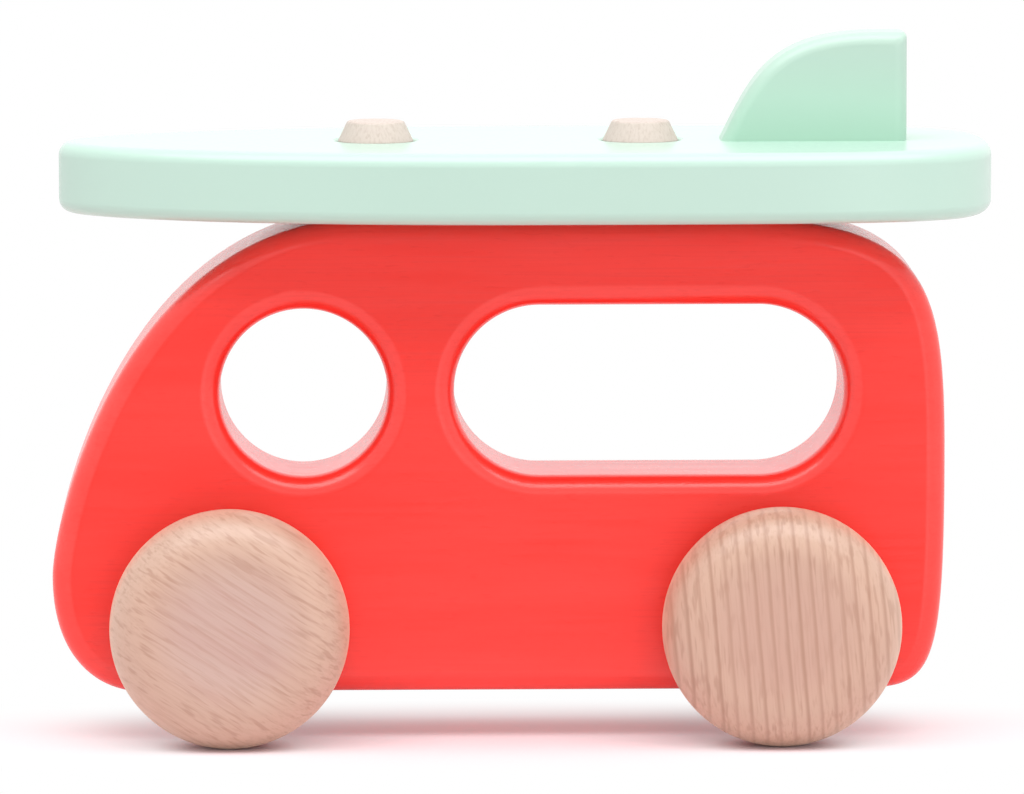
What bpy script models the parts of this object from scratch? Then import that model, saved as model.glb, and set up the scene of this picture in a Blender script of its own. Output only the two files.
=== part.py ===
# Wooden toy camper van with a lift-off surfboard.
# Frame: +Z up, the nose points to -X, the floor is Z = 0 and the middle of the footprint is X = Y = 0.

import math

import bmesh
import bpy

MM = 0.001

# Van body, a thick cut-out board standing on edge
BODY_LENGTH = 142.4 * MM
BODY_HEIGHT = 75.8 * MM
BODY_THICKNESS = 25.0 * MM
BODY_EDGE_RADIUS = 3.3 * MM

# Points where the body's outline runs level or upright, and how far each sweeps on before it bends
NOSE_ABOVE_BELLY = 18.4 * MM
NOSE_SWEEP_UP = 9.2 * MM
NOSE_SWEEP_DOWN = 14.5 * MM
ROOF_FROM_NOSE = 50.5 * MM
ROOF_SWEEP_FORWARD = 39.0 * MM
ROOF_FROM_TAIL = 41.0 * MM
ROOF_SWEEP_BACK = 38.5 * MM
TAIL_ABOVE_BELLY = 36.3 * MM
TAIL_SWEEP_UP = 31.5 * MM
TAIL_SWEEP_DOWN = 35.9 * MM
BELLY_FROM_NOSE = 13.8 * MM
BELLY_SWEEP_FORWARD = 5.2 * MM
BELLY_FROM_TAIL = 15.3 * MM
BELLY_SWEEP_BACK = 13.3 * MM

# Window openings with their sills in line, a round one in front and a long one with round ends behind it
WINDOW_SILL_ABOVE_BELLY = 34.6 * MM
ROUND_WINDOW_DIAMETER = 26.7 * MM
LONG_WINDOW_HEIGHT = 27.2 * MM
ROUND_WINDOW_FROM_NOSE = 26.8 * MM
WINDOW_PILLAR = 10.6 * MM
LONG_WINDOW_FROM_TAIL = 16.2 * MM

# Wheels and axles
WHEEL_DIAMETER = 38.0 * MM
WHEEL_WIDTH = 15.0 * MM
WHEEL_OUTER_EDGE_RADIUS = 7.0 * MM
WHEEL_INNER_EDGE_RADIUS = 6.5 * MM
WHEEL_TO_BODY_GAP = 1.2 * MM
AXLE_DIAMETER = 8.0 * MM
AXLE_DEPTH_IN_WHEEL = 9.0 * MM
AXLE_CHAMFER = 0.8 * MM
AXLE_RUNNING_CLEARANCE = 0.4 * MM
AXLE_ABOVE_BELLY = 11.6 * MM
FRONT_AXLE_FROM_NOSE = 28.3 * MM
REAR_AXLE_FROM_TAIL = 26.55 * MM

# Roof pegs that hold the surfboard
PEG_DIAMETER = 12.0 * MM
PEG_TIP_DIAMETER = 9.0 * MM
PEG_TIP_HEIGHT = 3.1 * MM
PEG_SOCKET_DEPTH = 9.0 * MM
PEG_FOOT_CHAMFER = 0.8 * MM
PEG_SLIDING_CLEARANCE = 0.4 * MM
FRONT_PEG_FROM_NOSE = 51.8 * MM
PEG_SPACING = 42.3 * MM

# Surfboard
BOARD_LENGTH = 148.9 * MM
BOARD_WIDTH = 56.0 * MM
BOARD_THICKNESS = 11.3 * MM
BOARD_EDGE_RADIUS = 2.2 * MM
BOARD_TAIL_BEHIND_REAR_PEG = 56.0 * MM
BOARD_NOSE_SWEEP = 14.0 * MM
BOARD_SIDE_SWEEP_FORWARD = 43.0 * MM
BOARD_SIDE_SWEEP_BACK = 60.0 * MM
BOARD_TAIL_SWEEP = 28.0 * MM

# Fin and the dowels that pin it to the surfboard
FIN_LENGTH = 29.7 * MM
FIN_HEIGHT = 17.0 * MM
FIN_THICKNESS = 10.0 * MM
FIN_EDGE_RADIUS = 2.0 * MM
FIN_FROM_BOARD_TAIL = 13.6 * MM
FIN_TOP_FLAT = 4.5 * MM
FIN_TOP_SWEEP = 17.5 * MM
FIN_FRONT_SWEEP = 11.2 * MM
FIN_FRONT_ANGLE = math.radians(63.0)
FIN_DOWEL_DIAMETER = 4.0 * MM
FIN_DOWEL_DEPTH = 6.0 * MM
FIN_DOWEL_CHAMFER = 0.5 * MM
FRONT_FIN_DOWEL_FROM_FIN_FRONT = 11.0 * MM
REAR_FIN_DOWEL_FROM_FIN_REAR = 8.0 * MM

# Gap left between pieces that are glued or that rest on each other
SEAT_GAP = 0.3 * MM

# Fineness of round shapes
OUTLINE_STEPS = 12
EDGE_STEPS = 2
ROUND_SIDES = 32
WHEEL_SIDES = 40
WHEEL_EDGE_STEPS = 6

# Distances behind the van's nose. The pegs carry the board, and its rear peg hole sets where it lies
REAR_PEG_FROM_NOSE = FRONT_PEG_FROM_NOSE + PEG_SPACING
BOARD_TAIL_FROM_NOSE = REAR_PEG_FROM_NOSE + BOARD_TAIL_BEHIND_REAR_PEG
BOARD_NOSE_FROM_NOSE = BOARD_TAIL_FROM_NOSE - BOARD_LENGTH
FOOTPRINT_START = min(0.0, BOARD_NOSE_FROM_NOSE)
FOOTPRINT_END = max(BODY_LENGTH, BOARD_TAIL_FROM_NOSE)

# Places that follow from the sizes
NOSE_X = -(FOOTPRINT_START + FOOTPRINT_END) / 2
TAIL_X = NOSE_X + BODY_LENGTH
AXLE_Z = WHEEL_DIAMETER / 2
BELLY_Z = AXLE_Z - AXLE_ABOVE_BELLY
ROOF_Z = BELLY_Z + BODY_HEIGHT
FRONT_AXLE_X = NOSE_X + FRONT_AXLE_FROM_NOSE
REAR_AXLE_X = TAIL_X - REAR_AXLE_FROM_TAIL
BOARD_BOTTOM_Z = ROOF_Z + SEAT_GAP
BOARD_TOP_Z = BOARD_BOTTOM_Z + BOARD_THICKNESS
BOARD_TAIL_X = NOSE_X + BOARD_TAIL_FROM_NOSE
BOARD_X = BOARD_TAIL_X - BOARD_LENGTH / 2
FRONT_PEG_X = NOSE_X + FRONT_PEG_FROM_NOSE
REAR_PEG_X = NOSE_X + REAR_PEG_FROM_NOSE
FIN_REAR_X = BOARD_TAIL_X - FIN_FROM_BOARD_TAIL
FIN_FRONT_X = FIN_REAR_X - FIN_LENGTH
FIN_BASE_Z = BOARD_TOP_Z + SEAT_GAP

# Modelling limits and the two ways that flat outlines and bores are turned
WELD_DISTANCE = 0.01 * MM
SMOOTH_BELOW = math.radians(35.0)
FLAT_BELOW = math.radians(0.05)
LEVEL = (0.0, 0.0, 0.0)
UPRIGHT = (math.pi / 2, 0.0, 0.0)


def clear_scene():
    for obj in list(bpy.data.objects):
        bpy.data.objects.remove(obj, do_unlink=True)


def new_collection(name):
    collection = bpy.data.collections.new(name)
    bpy.context.scene.collection.children.link(collection)
    return collection


def srgb(red, green, blue):
    # Screen values of 0 to 255 as the linear colour that a shader takes
    linear = []
    for value in (red, green, blue):
        share = value / 255
        linear.append(share / 12.92 if share <= 0.04045 else ((share + 0.055) / 1.055) ** 2.4)
    return (*linear, 1.0)


def wood_material(name, colour, roughness):
    material = bpy.data.materials.new(name)
    material.use_nodes = True
    shader = material.node_tree.nodes["Principled BSDF"]
    shader.inputs["Base Color"].default_value = colour
    shader.inputs["Roughness"].default_value = roughness
    shader.inputs["Metallic"].default_value = 0.0
    return material


def add_outline(curve, points):
    # Each point is its place, then the handles before and after it, or None beside a straight run
    spline = curve.splines.new("BEZIER")
    spline.bezier_points.add(len(points) - 1)
    spline.use_cyclic_u = True
    for bezier, (place, before, after) in zip(spline.bezier_points, points):
        bezier.co = (*place, 0.0)
        bezier.handle_left_type = "FREE" if before else "VECTOR"
        bezier.handle_right_type = "FREE" if after else "VECTOR"
        bezier.handle_left = (*(before or place), 0.0)
        bezier.handle_right = (*(after or place), 0.0)


def slot_outline(centre_x, centre_y, length, height):
    # A slot with half-round ends, or a circle where the length is no more than the height
    radius = height / 2
    reach = radius * 4 / 3 * math.tan(math.pi / 8)
    right_x = centre_x + max(length / 2 - radius, 0.0)
    left_x = centre_x - max(length / 2 - radius, 0.0)
    top_y = centre_y + radius
    low_y = centre_y - radius
    end_right = (right_x + radius, centre_y)
    end_left = (left_x - radius, centre_y)
    from_right_end = (end_right, (end_right[0], centre_y - reach), (end_right[0], centre_y + reach))
    from_left_end = (end_left, (end_left[0], centre_y + reach), (end_left[0], centre_y - reach))
    if right_x > left_x:
        top = [
            ((right_x, top_y), (right_x + reach, top_y), None),
            ((left_x, top_y), None, (left_x - reach, top_y)),
        ]
        low = [
            ((left_x, low_y), (left_x - reach, low_y), None),
            ((right_x, low_y), None, (right_x + reach, low_y)),
        ]
    else:
        top = [((centre_x, top_y), (centre_x + reach, top_y), (centre_x - reach, top_y))]
        low = [((centre_x, low_y), (centre_x - reach, low_y), (centre_x + reach, low_y))]
    return [from_right_end, *top, from_left_end, *low]


def plate_mesh(name, outlines, thickness, edge_radius, location, rotation, collection):
    # A flat outline given its thickness and rounded edges, turned into a closed mesh
    curve = bpy.data.curves.new(name + "_outline", "CURVE")
    curve.dimensions = "2D"
    curve.fill_mode = "BOTH"
    curve.resolution_u = OUTLINE_STEPS
    curve.extrude = thickness / 2 - edge_radius
    curve.bevel_depth = edge_radius
    curve.bevel_resolution = EDGE_STEPS
    curve.offset = -edge_radius
    for outline in outlines:
        add_outline(curve, outline)
    drawn = bpy.data.objects.new(name + "_outline", curve)
    drawn.location = location
    drawn.rotation_euler = rotation
    collection.objects.link(drawn)
    bpy.context.view_layer.update()
    graph = bpy.context.evaluated_depsgraph_get()
    mesh = bpy.data.meshes.new_from_object(drawn.evaluated_get(graph))
    mesh.name = name
    welded = bmesh.new()
    welded.from_mesh(mesh)
    bmesh.ops.remove_doubles(welded, verts=welded.verts, dist=WELD_DISTANCE)
    bmesh.ops.dissolve_limit(welded, angle_limit=FLAT_BELOW, verts=welded.verts, edges=welded.edges)
    bmesh.ops.recalc_face_normals(welded, faces=welded.faces)
    welded.to_mesh(mesh)
    welded.free()
    plate = bpy.data.objects.new(name, mesh)
    plate.matrix_world = drawn.matrix_world.copy()
    collection.objects.link(plate)
    bpy.data.objects.remove(drawn, do_unlink=True)
    return plate


def turned(name, profile, sides, collection):
    # A profile of (radius, height) points from top to bottom, turned round the object's Z axis
    mesh = bpy.data.meshes.new(name)
    points = [(radius, 0.0, height) for radius, height in profile]
    edges = [(i, i + 1) for i in range(len(points) - 1)]
    mesh.from_pydata(points, edges, [])
    obj = bpy.data.objects.new(name, mesh)
    collection.objects.link(obj)
    screw = obj.modifiers.new("turn", "SCREW")
    screw.axis = "Z"
    screw.steps = sides
    screw.render_steps = sides
    screw.use_merge_vertices = True
    screw.merge_threshold = WELD_DISTANCE
    screw.use_smooth_shade = True
    return obj


def dowel_profile(radius, length, tip_radius, tip_height, foot_chamfer):
    return [
        (0.0, length),
        (tip_radius, length),
        (radius, length - tip_height),
        (radius, foot_chamfer),
        (radius - foot_chamfer, 0.0),
        (0.0, 0.0),
    ]


def arc(centre_radius, centre_height, size, start, end):
    points = []
    for step in range(WHEEL_EDGE_STEPS + 1):
        angle = math.radians(start + (end - start) * step / WHEEL_EDGE_STEPS)
        points.append((centre_radius + size * math.cos(angle), centre_height + size * math.sin(angle)))
    return points


def cutter_cylinder(name, radius, length, location, rotation, collection):
    mesh = bpy.data.meshes.new(name)
    shape = bmesh.new()
    bmesh.ops.create_cone(
        shape,
        cap_ends=True,
        segments=ROUND_SIDES,
        radius1=radius,
        radius2=radius,
        depth=length,
    )
    shape.to_mesh(mesh)
    shape.free()
    return place_cutter(name, mesh, location, rotation, collection)


def cutter_box(name, size, location, collection):
    mesh = bpy.data.meshes.new(name)
    shape = bmesh.new()
    bmesh.ops.create_cube(shape, size=1.0)
    bmesh.ops.scale(shape, vec=size, verts=shape.verts)
    shape.to_mesh(mesh)
    shape.free()
    return place_cutter(name, mesh, location, LEVEL, collection)


def place_cutter(name, mesh, location, rotation, collection):
    cutter = bpy.data.objects.new(name, mesh)
    cutter.location = location
    cutter.rotation_euler = rotation
    cutter.hide_render = True
    cutter.display_type = "WIRE"
    collection.objects.link(cutter)
    return cutter


def cut(obj, cutter):
    boolean = obj.modifiers.new(cutter.name, "BOOLEAN")
    boolean.operation = "DIFFERENCE"
    boolean.solver = "EXACT"
    boolean.object = cutter


def finish(obj, material, parent=None):
    obj.data.materials.clear()
    obj.data.materials.append(material)
    if obj.data.polygons:
        obj.data.shade_smooth()
        obj.data.set_sharp_from_angle(angle=SMOOTH_BELOW)
    if parent:
        obj.parent = parent
        obj.matrix_parent_inverse = parent.matrix_world.inverted()


def joint_empty(name, location, collection):
    empty = bpy.data.objects.new(name, None)
    empty.location = location
    empty.empty_display_size = AXLE_DIAMETER
    collection.objects.link(empty)
    return empty


def body_outline():
    # Round the side view from the roof's front end: nose, belly, tail and back along the roof
    nose = (0.0, NOSE_ABOVE_BELLY)
    tail = (BODY_LENGTH, TAIL_ABOVE_BELLY)
    roof_front = (ROOF_FROM_NOSE, BODY_HEIGHT)
    roof_rear = (BODY_LENGTH - ROOF_FROM_TAIL, BODY_HEIGHT)
    belly_front = (BELLY_FROM_NOSE, 0.0)
    belly_rear = (BODY_LENGTH - BELLY_FROM_TAIL, 0.0)
    roof_to_nose = (roof_front[0] - ROOF_SWEEP_FORWARD, BODY_HEIGHT)
    belly_to_nose = (belly_front[0] - BELLY_SWEEP_FORWARD, 0.0)
    belly_to_tail = (belly_rear[0] + BELLY_SWEEP_BACK, 0.0)
    roof_to_tail = (roof_rear[0] + ROOF_SWEEP_BACK, BODY_HEIGHT)
    return [
        (roof_front, None, roof_to_nose),
        (nose, (0.0, nose[1] + NOSE_SWEEP_UP), (0.0, nose[1] - NOSE_SWEEP_DOWN)),
        (belly_front, belly_to_nose, None),
        (belly_rear, None, belly_to_tail),
        (tail, (tail[0], tail[1] - TAIL_SWEEP_DOWN), (tail[0], tail[1] + TAIL_SWEEP_UP)),
        (roof_rear, roof_to_tail, None),
    ]


def make_body(parts, cutters, material):
    round_x = ROUND_WINDOW_FROM_NOSE + ROUND_WINDOW_DIAMETER / 2
    round_y = WINDOW_SILL_ABOVE_BELLY + ROUND_WINDOW_DIAMETER / 2
    long_start = ROUND_WINDOW_FROM_NOSE + ROUND_WINDOW_DIAMETER + WINDOW_PILLAR
    long_end = BODY_LENGTH - LONG_WINDOW_FROM_TAIL
    long_y = WINDOW_SILL_ABOVE_BELLY + LONG_WINDOW_HEIGHT / 2
    outlines = [
        body_outline(),
        slot_outline(round_x, round_y, ROUND_WINDOW_DIAMETER, ROUND_WINDOW_DIAMETER),
        slot_outline((long_start + long_end) / 2, long_y, long_end - long_start, LONG_WINDOW_HEIGHT),
    ]
    body = plate_mesh(
        "van_body",
        outlines,
        BODY_THICKNESS,
        BODY_EDGE_RADIUS,
        (NOSE_X, 0.0, BELLY_Z),
        UPRIGHT,
        parts,
    )
    bore_radius = AXLE_DIAMETER / 2 + AXLE_RUNNING_CLEARANCE
    bore_length = 2 * BODY_THICKNESS
    for name, axle_x in (("front_axle_bore", FRONT_AXLE_X), ("rear_axle_bore", REAR_AXLE_X)):
        place = (axle_x, 0.0, AXLE_Z)
        bore = cutter_cylinder(name, bore_radius, bore_length, place, UPRIGHT, cutters)
        cut(body, bore)
    socket_radius = PEG_DIAMETER / 2 + SEAT_GAP
    for name, peg_x in (("front_peg_socket", FRONT_PEG_X), ("rear_peg_socket", REAR_PEG_X)):
        # Centred on the roof, so that half its length is the socket and half stands clear above
        place = (peg_x, 0.0, ROOF_Z)
        socket = cutter_cylinder(name, socket_radius, 2 * PEG_SOCKET_DEPTH, place, LEVEL, cutters)
        cut(body, socket)
    finish(body, material)


def make_pegs(parts, material):
    foot_z = ROOF_Z - PEG_SOCKET_DEPTH + SEAT_GAP
    length = BOARD_TOP_Z + PEG_TIP_HEIGHT - foot_z
    profile = dowel_profile(
        PEG_DIAMETER / 2,
        length,
        PEG_TIP_DIAMETER / 2,
        PEG_TIP_HEIGHT,
        PEG_FOOT_CHAMFER,
    )
    for name, peg_x in (("roof_peg_front", FRONT_PEG_X), ("roof_peg_rear", REAR_PEG_X)):
        peg = turned(name, profile, ROUND_SIDES, parts)
        peg.location = (peg_x, 0.0, foot_z)
        finish(peg, material)


def wheel_profile():
    # From the middle of the outer face, over the tread to the inner face and into the axle's blind hole
    radius = WHEEL_DIAMETER / 2
    hole_radius = AXLE_DIAMETER / 2 + SEAT_GAP
    hole_depth = AXLE_DEPTH_IN_WHEEL + SEAT_GAP
    outer = WHEEL_OUTER_EDGE_RADIUS
    inner = WHEEL_INNER_EDGE_RADIUS
    return [
        (0.0, WHEEL_WIDTH),
        *arc(radius - outer, WHEEL_WIDTH - outer, outer, 90, 0),
        *arc(radius - inner, inner, inner, 0, -90),
        (hole_radius, 0.0),
        (hole_radius, hole_depth),
        (0.0, hole_depth),
    ]


def make_wheelset(end, axle_x, parts, materials):
    hub = joint_empty(end + "_wheelset", (axle_x, 0.0, AXLE_Z), parts)
    bpy.context.view_layer.update()
    face_y = BODY_THICKNESS / 2 + WHEEL_TO_BODY_GAP
    axle_length = 2 * (face_y + AXLE_DEPTH_IN_WHEEL)
    profile = dowel_profile(
        AXLE_DIAMETER / 2,
        axle_length,
        AXLE_DIAMETER / 2 - AXLE_CHAMFER,
        AXLE_CHAMFER,
        AXLE_CHAMFER,
    )
    axle = turned(end + "_axle", profile, ROUND_SIDES, parts)
    axle.location = (axle_x, axle_length / 2, AXLE_Z)
    axle.rotation_euler = UPRIGHT
    finish(axle, materials["dowel"], hub)
    for side, direction in (("left", -1), ("right", 1)):
        wheel = turned(f"{end}_wheel_{side}", wheel_profile(), WHEEL_SIDES, parts)
        wheel.location = (axle_x, direction * face_y, AXLE_Z)
        wheel.rotation_euler = (-direction * math.pi / 2, 0.0, 0.0)
        finish(wheel, materials["wheel"], hub)


def board_outline():
    nose_x = -BOARD_LENGTH / 2
    tail_x = BOARD_LENGTH / 2
    side_y = BOARD_WIDTH / 2
    return [
        ((nose_x, 0.0), (nose_x, BOARD_NOSE_SWEEP), (nose_x, -BOARD_NOSE_SWEEP)),
        ((0.0, -side_y), (-BOARD_SIDE_SWEEP_FORWARD, -side_y), (BOARD_SIDE_SWEEP_BACK, -side_y)),
        ((tail_x, 0.0), (tail_x, -BOARD_TAIL_SWEEP), (tail_x, BOARD_TAIL_SWEEP)),
        ((0.0, side_y), (BOARD_SIDE_SWEEP_BACK, side_y), (-BOARD_SIDE_SWEEP_FORWARD, side_y)),
    ]


def fin_dowel_places():
    return (
        ("fin_dowel_front", FIN_FRONT_X + FRONT_FIN_DOWEL_FROM_FIN_FRONT),
        ("fin_dowel_rear", FIN_REAR_X - REAR_FIN_DOWEL_FROM_FIN_REAR),
    )


def make_board(parts, cutters, dowel_cutters, material):
    middle_z = BOARD_BOTTOM_Z + BOARD_THICKNESS / 2
    board = plate_mesh(
        "surfboard",
        [board_outline()],
        BOARD_THICKNESS,
        BOARD_EDGE_RADIUS,
        (BOARD_X, 0.0, middle_z),
        LEVEL,
        parts,
    )
    hole_radius = PEG_DIAMETER / 2 + PEG_SLIDING_CLEARANCE
    for name, peg_x in (("front_peg_hole", FRONT_PEG_X), ("rear_peg_hole", REAR_PEG_X)):
        place = (peg_x, 0.0, middle_z)
        hole = cutter_cylinder(name, hole_radius, 2 * BOARD_THICKNESS, place, LEVEL, cutters)
        cut(board, hole)
    for cutter in dowel_cutters:
        cut(board, cutter)
    finish(board, material)
    bpy.context.view_layer.update()
    return board


def fin_outline():
    # From the front of the base up the leading edge, along the top and down the upright rear edge.
    # The base runs on downwards by a foot, which is trimmed off so that its edge stays sharp.
    foot = 2 * FIN_EDGE_RADIUS
    lean = foot / math.tan(FIN_FRONT_ANGLE)
    sweep = (FIN_FRONT_SWEEP * math.cos(FIN_FRONT_ANGLE), FIN_FRONT_SWEEP * math.sin(FIN_FRONT_ANGLE))
    base = (0.0, 0.0)
    heel = (-lean, -foot)
    top_front = (FIN_LENGTH - FIN_TOP_FLAT, FIN_HEIGHT)
    top_rear = (FIN_LENGTH, FIN_HEIGHT)
    heel_rear = (FIN_LENGTH, -foot)
    return [
        (heel, None, None),
        (base, None, sweep),
        (top_front, (top_front[0] - FIN_TOP_SWEEP, FIN_HEIGHT), None),
        (top_rear, None, None),
        (heel_rear, None, None),
    ]


def make_fin(parts, cutters, dowel_cutters, board, material):
    square_edge = 0.0
    fin = plate_mesh(
        "surfboard_fin",
        [fin_outline()],
        FIN_THICKNESS,
        square_edge,
        (FIN_FRONT_X, 0.0, FIN_BASE_Z),
        UPRIGHT,
        parts,
    )
    rounding = fin.modifiers.new("rounded_edges", "BEVEL")
    rounding.width = FIN_EDGE_RADIUS
    rounding.segments = EDGE_STEPS + 1
    rounding.limit_method = "ANGLE"
    rounding.angle_limit = SMOOTH_BELOW
    rounding.use_clamp_overlap = False
    trim_size = (2 * FIN_LENGTH, 2 * FIN_THICKNESS, FIN_HEIGHT)
    trim_place = ((FIN_FRONT_X + FIN_REAR_X) / 2, 0.0, FIN_BASE_Z - FIN_HEIGHT / 2)
    cut(fin, cutter_box("fin_base_trim", trim_size, trim_place, cutters))
    for cutter in dowel_cutters:
        cut(fin, cutter)
    finish(fin, material, board)


def make_fin_dowel_cutters(cutters):
    radius = FIN_DOWEL_DIAMETER / 2 + SEAT_GAP
    low_z = BOARD_TOP_Z - FIN_DOWEL_DEPTH - SEAT_GAP
    high_z = FIN_BASE_Z + FIN_DOWEL_DEPTH + SEAT_GAP
    made = []
    for name, dowel_x in fin_dowel_places():
        place = (dowel_x, 0.0, (low_z + high_z) / 2)
        made.append(cutter_cylinder(name + "_hole", radius, high_z - low_z, place, LEVEL, cutters))
    return made


def make_fin_dowels(parts, board, material):
    foot_z = BOARD_TOP_Z - FIN_DOWEL_DEPTH
    length = FIN_BASE_Z + FIN_DOWEL_DEPTH - foot_z
    radius = FIN_DOWEL_DIAMETER / 2
    profile = dowel_profile(
        radius,
        length,
        radius - FIN_DOWEL_CHAMFER,
        FIN_DOWEL_CHAMFER,
        FIN_DOWEL_CHAMFER,
    )
    for name, dowel_x in fin_dowel_places():
        dowel = turned(name, profile, ROUND_SIDES, parts)
        dowel.location = (dowel_x, 0.0, foot_z)
        finish(dowel, material, board)


def main():
    clear_scene()
    parts = new_collection("toy_camper_van")
    cutters = new_collection("toy_camper_van_cutters")
    red = wood_material("red_stained_wood", srgb(248, 74, 70), 0.42)
    mint = wood_material("mint_painted_wood", srgb(200, 231, 216), 0.38)
    plain = {
        "wheel": wood_material("plain_wheel_wood", srgb(218, 182, 164), 0.55),
        "dowel": wood_material("plain_dowel_wood", srgb(238, 222, 204), 0.6),
    }
    make_body(parts, cutters, red)
    make_pegs(parts, plain["dowel"])
    make_wheelset("front", FRONT_AXLE_X, parts, plain)
    make_wheelset("rear", REAR_AXLE_X, parts, plain)
    dowel_cutters = make_fin_dowel_cutters(cutters)
    board = make_board(parts, cutters, dowel_cutters, mint)
    make_fin(parts, cutters, dowel_cutters, board, mint)
    make_fin_dowels(parts, board, plain["dowel"])


main()
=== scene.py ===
import math

import bmesh
import bpy
from mathutils import Matrix, Vector
from mathutils.geometry import interpolate_bezier


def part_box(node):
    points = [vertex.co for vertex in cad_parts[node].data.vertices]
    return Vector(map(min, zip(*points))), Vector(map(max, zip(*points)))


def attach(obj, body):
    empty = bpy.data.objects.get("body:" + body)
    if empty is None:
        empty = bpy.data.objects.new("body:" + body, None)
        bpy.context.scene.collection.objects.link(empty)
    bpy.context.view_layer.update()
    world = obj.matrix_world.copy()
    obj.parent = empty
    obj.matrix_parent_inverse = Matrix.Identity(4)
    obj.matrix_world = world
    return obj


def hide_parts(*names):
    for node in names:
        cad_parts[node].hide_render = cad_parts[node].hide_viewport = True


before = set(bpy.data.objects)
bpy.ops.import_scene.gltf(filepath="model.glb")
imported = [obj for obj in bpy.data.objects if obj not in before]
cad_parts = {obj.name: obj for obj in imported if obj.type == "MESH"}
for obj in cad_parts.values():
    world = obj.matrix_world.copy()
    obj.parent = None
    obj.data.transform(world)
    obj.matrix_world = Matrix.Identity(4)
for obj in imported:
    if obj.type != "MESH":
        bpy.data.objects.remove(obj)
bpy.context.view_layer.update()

# Wooden toy camper van with a lift-off surfboard: red body, plain beech wheels, mint board and fin.
# Metres, +Z up, the nose points to -X and the side facing the camera is -Y.

mm = 0.001
scene = bpy.context.scene
bothEnds = ("front", "rear")  # axles, pegs and fin dowels come in such pairs
sharpAbove = math.radians(38)  # edges steeper than this stay crisp
flatWithin = math.radians(0.02)  # faces that differ by less than this become one
weldWithin = 0.002 * mm
mouthStep = 0.02 * mm  # a hair of upright wall, so that a cutter crosses the face squarely
cutterOverlap = 2 * mm  # how far a cutter stands out of the face that it opens


# Small tools

def hexToLinear(code):
    # "#rrggbb" as seen on a screen, to the linear colour that a shader takes
    channels = [int(code[i:i + 2], 16) / 255 for i in (1, 3, 5)]
    return [c / 12.92 if c <= 0.04045 else ((c + 0.055) / 1.055) ** 2.4 for c in channels] + [1.0]


def feed(tree, socket, value):
    # Another node's output is linked, anything else becomes the input's own value
    if isinstance(value, bpy.types.NodeSocket):
        tree.links.new(value, socket)
    else:
        socket.default_value = value


def addNode(tree, kind, inputs=None, **settings):
    node = tree.nodes.new(kind)
    for name, value in settings.items():
        setattr(node, name, value)
    for key, value in (inputs or {}).items():
        feed(tree, node.inputs[key], value)
    return node


def calc(tree, operation, *values):
    return addNode(tree, "ShaderNodeMath", dict(enumerate(values)), operation=operation).outputs[0]


def calcVector(tree, operation, *values):
    node = addNode(tree, "ShaderNodeVectorMath", dict(enumerate(values)), operation=operation)
    return node.outputs["Value" if operation in ("LENGTH", "DOT_PRODUCT") else "Vector"]


def newObject(name, data):
    item = bpy.data.objects.new(name, data)
    scene.collection.objects.link(item)
    return item


def bakeModifiers(piece):
    # The evaluated shape becomes the piece's own plain mesh
    graph = bpy.context.evaluated_depsgraph_get()
    graph.update()
    mesh = bpy.data.meshes.new_from_object(piece.evaluated_get(graph))
    piece.modifiers.clear()
    piece.data = mesh
    mesh.name = piece.name


def tidyNormals(piece):
    shape = bmesh.new()
    shape.from_mesh(piece.data)
    bmesh.ops.remove_doubles(shape, verts=shape.verts, dist=weldWithin)
    bmesh.ops.recalc_face_normals(shape, faces=shape.faces)
    shape.to_mesh(piece.data)
    shape.free()
    piece.data.shade_smooth()
    piece.data.set_sharp_from_angle(angle=sharpAbove)
    # big faces lead the shading, so that flats stay flat right up to their roundings
    shading = piece.modifiers.new("flatFaces", "WEIGHTED_NORMAL")
    shading.keep_sharp = True
    bakeModifiers(piece)


def settle(piece, material, body, slot, *nodes):
    # Last step for every piece: finish, the body it moves with and the solids it stands for
    piece.data.materials.clear()
    piece.data.materials.append(material)
    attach(piece, body)
    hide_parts(*nodes)


def boxCentre(node):
    low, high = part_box(node)
    return (low + high) / 2


def boxSize(node):
    low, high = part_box(node)
    return high - low


# Materials

noiseSpread = (0.3, 0.7)  # nearly all values of a noise lie between these


def emptyMaterial(name):
    material = bpy.data.materials.new(name)
    material.use_nodes = True
    material.node_tree.nodes.clear()
    return material, material.node_tree


def startMaterial(name):
    material, tree = emptyMaterial(name)
    shader = addNode(tree, "ShaderNodeBsdfPrincipled")
    addNode(tree, "ShaderNodeOutputMaterial", {"Surface": shader.outputs["BSDF"]})
    return material, tree, shader


def ownAttribute(tree, name, output="Fac"):
    return addNode(tree, "ShaderNodeAttribute", attribute_name=name).outputs[output]


def alongVan(tree, place):
    # A board's fibres run along the van, so X is turned onto the pattern's Y
    return addNode(tree, "ShaderNodeMapping", {
        "Vector": place, "Rotation": (0.0, 0.0, math.pi / 2),
    }).outputs["Vector"]


def stretched(tree, coords, across, along, deep, detail=2.0, shift=0.0):
    # Noise whose blots measure across x along x deep, in metres, with the fibres running along Y
    placed = addNode(tree, "ShaderNodeMapping", {
        "Vector": coords,
        "Location": (shift, shift, shift),
        "Scale": (1 / across, 1 / along, 1 / deep),
    })
    noise = addNode(tree, "ShaderNodeTexNoise", {
        "Vector": placed.outputs["Vector"], "Scale": 1.0, "Detail": detail, "Roughness": 0.55,
    })
    return noise.outputs["Fac"]


def ranged(tree, value, low, high, toLow=0.0, toHigh=1.0):
    node = addNode(tree, "ShaderNodeMapRange", {
        "Value": value, "From Min": low, "From Max": high, "To Min": toLow, "To Max": toHigh,
    }, interpolation_type="SMOOTHSTEP")
    return node.outputs["Result"]


def blend(tree, share, first, second):
    # Two colours mixed by share; each is a screen colour or the output that gives one
    first, second = (hexToLinear(end) if isinstance(end, str) else end for end in (first, second))
    node = addNode(tree, "ShaderNodeMix", {
        "Factor": share, "A": first, "B": second,
    }, data_type="RGBA")
    return node.outputs["Result"]


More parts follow.
